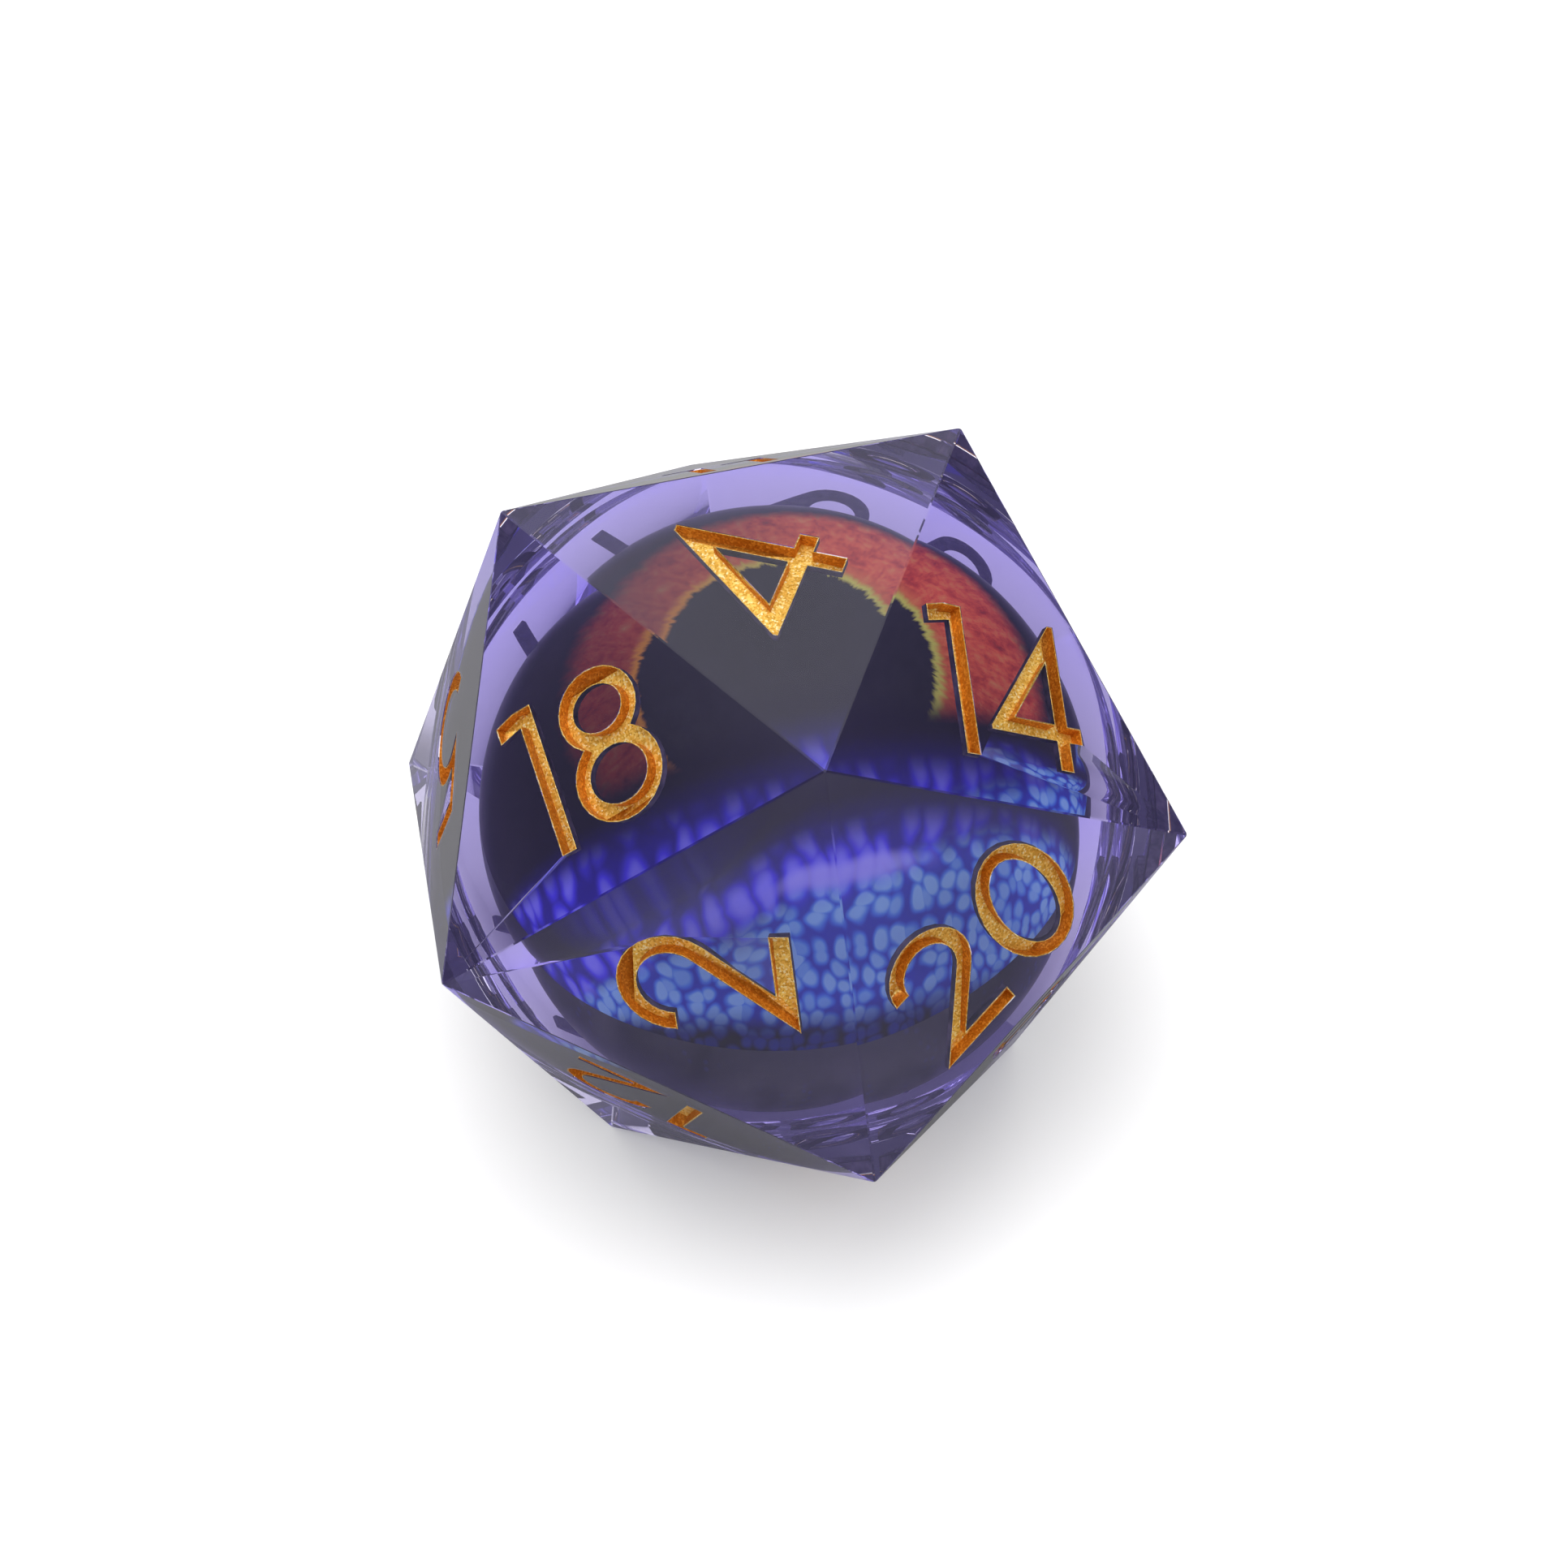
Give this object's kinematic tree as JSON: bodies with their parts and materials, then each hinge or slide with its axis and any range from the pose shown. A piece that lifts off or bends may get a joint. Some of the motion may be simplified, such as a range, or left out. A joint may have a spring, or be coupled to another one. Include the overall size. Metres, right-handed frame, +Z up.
{
  "type": "polyhedral die",
  "caption": "Sharp-edged cast resin die with gold inked numerals around a clear ball, in which a weighted printed eye floats in liquid and turns to look up.",
  "frame": {"origin": "centre of the face that the die rests on", "axes": "+Z up out of the face opposite the resting face, -Y towards one corner of that top face"},
  "size_m": [0.0354, 0.0408, 0.033],
  "materials": {
    "cast_resin": "polished tinted epoxy, transparent",
    "clear_acrylic": "clear moulded",
    "clear_liquid": "clear liquid",
    "printed_cap": "printed, glossy",
    "dark_hull": "satin",
    "steel_weight": "plain",
    "gold_paint": "metallic acrylic paint"
  },
  "bodies": {
    "die": {"ball_lower": "clear_acrylic", "ball_upper": "clear_acrylic", "fill_plug": "clear_acrylic", "paint_01_units": "gold_paint", "paint_02_units": "gold_paint", "paint_03_units": "gold_paint", "paint_04_units": "gold_paint", "paint_05_units": "gold_paint", "paint_06_dot": "gold_paint", "paint_06_units": "gold_paint", "paint_07_units": "gold_paint", "paint_08_units": "gold_paint", "paint_09_dot": "gold_paint", "paint_09_units": "gold_paint", "paint_10_tens": "gold_paint", "paint_10_units": "gold_paint", "paint_11_tens": "gold_paint", "paint_11_units": "gold_paint", "paint_12_tens": "gold_paint", "paint_12_units": "gold_paint", "paint_13_tens": "gold_paint", "paint_13_units": "gold_paint", "paint_14_tens": "gold_paint", "paint_14_units": "gold_paint", "paint_15_tens": "gold_paint", "paint_15_units": "gold_paint", "paint_16_tens": "gold_paint", "paint_16_units": "gold_paint", "paint_17_tens": "gold_paint", "paint_17_units": "gold_paint", "paint_18_tens": "gold_paint", "paint_18_units": "gold_paint", "paint_19_tens": "gold_paint", "paint_19_units": "gold_paint", "paint_20_tens": "gold_paint", "paint_20_units": "gold_paint", "resin_first_pour": "cast_resin", "resin_second_pour": "cast_resin"},
    "liquid": {"liquid_fill": "clear_liquid"},
    "eye": {"eye_cap": "printed_cap", "eye_hull": "dark_hull", "eye_ballast": "steel_weight"}
  },
  "joints": [
    {"name": "eye_swirl", "type": "hinge", "parent": "die", "child": "liquid", "pos_m": [0, 0, 0.01478], "axis": [0, 0, 1], "continuous": true},
    {"name": "eye_tilt", "type": "hinge", "parent": "liquid", "child": "eye", "pos_m": [0, 0, 0.01478], "axis": [1, 0, 0], "continuous": true}
  ]
}
